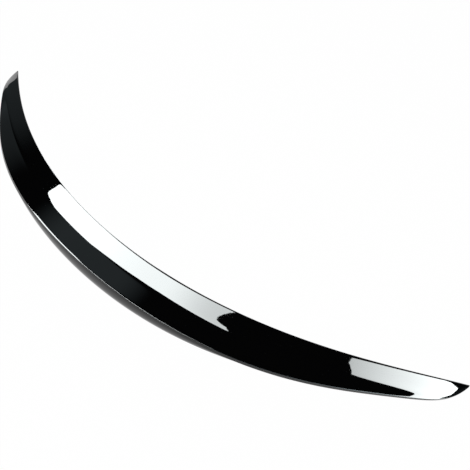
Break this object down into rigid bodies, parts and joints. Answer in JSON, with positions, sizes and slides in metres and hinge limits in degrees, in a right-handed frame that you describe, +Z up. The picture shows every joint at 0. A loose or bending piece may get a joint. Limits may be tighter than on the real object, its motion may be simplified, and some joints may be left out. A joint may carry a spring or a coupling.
{
  "type": "car rear spoiler",
  "caption": "Gloss black crescent spoiler for a boot lid: concave kick-up lip, flange along the front edge and horns tapering to points",
  "frame": {"origin": "Middle of the bonding face, on the underside of the flange at its front edge at mid-span", "axes": "+X across the car, +Y forward along the car, +Z up; the lip and rear face look along -Y and the horn tips reach towards +Y"},
  "size_m": [1.2362, 0.2793, 0.092],
  "materials": {
    "gloss_black": "gloss"
  },
  "bodies": {
    "root": {"blade": "gloss_black"}
  },
  "joints": []
}
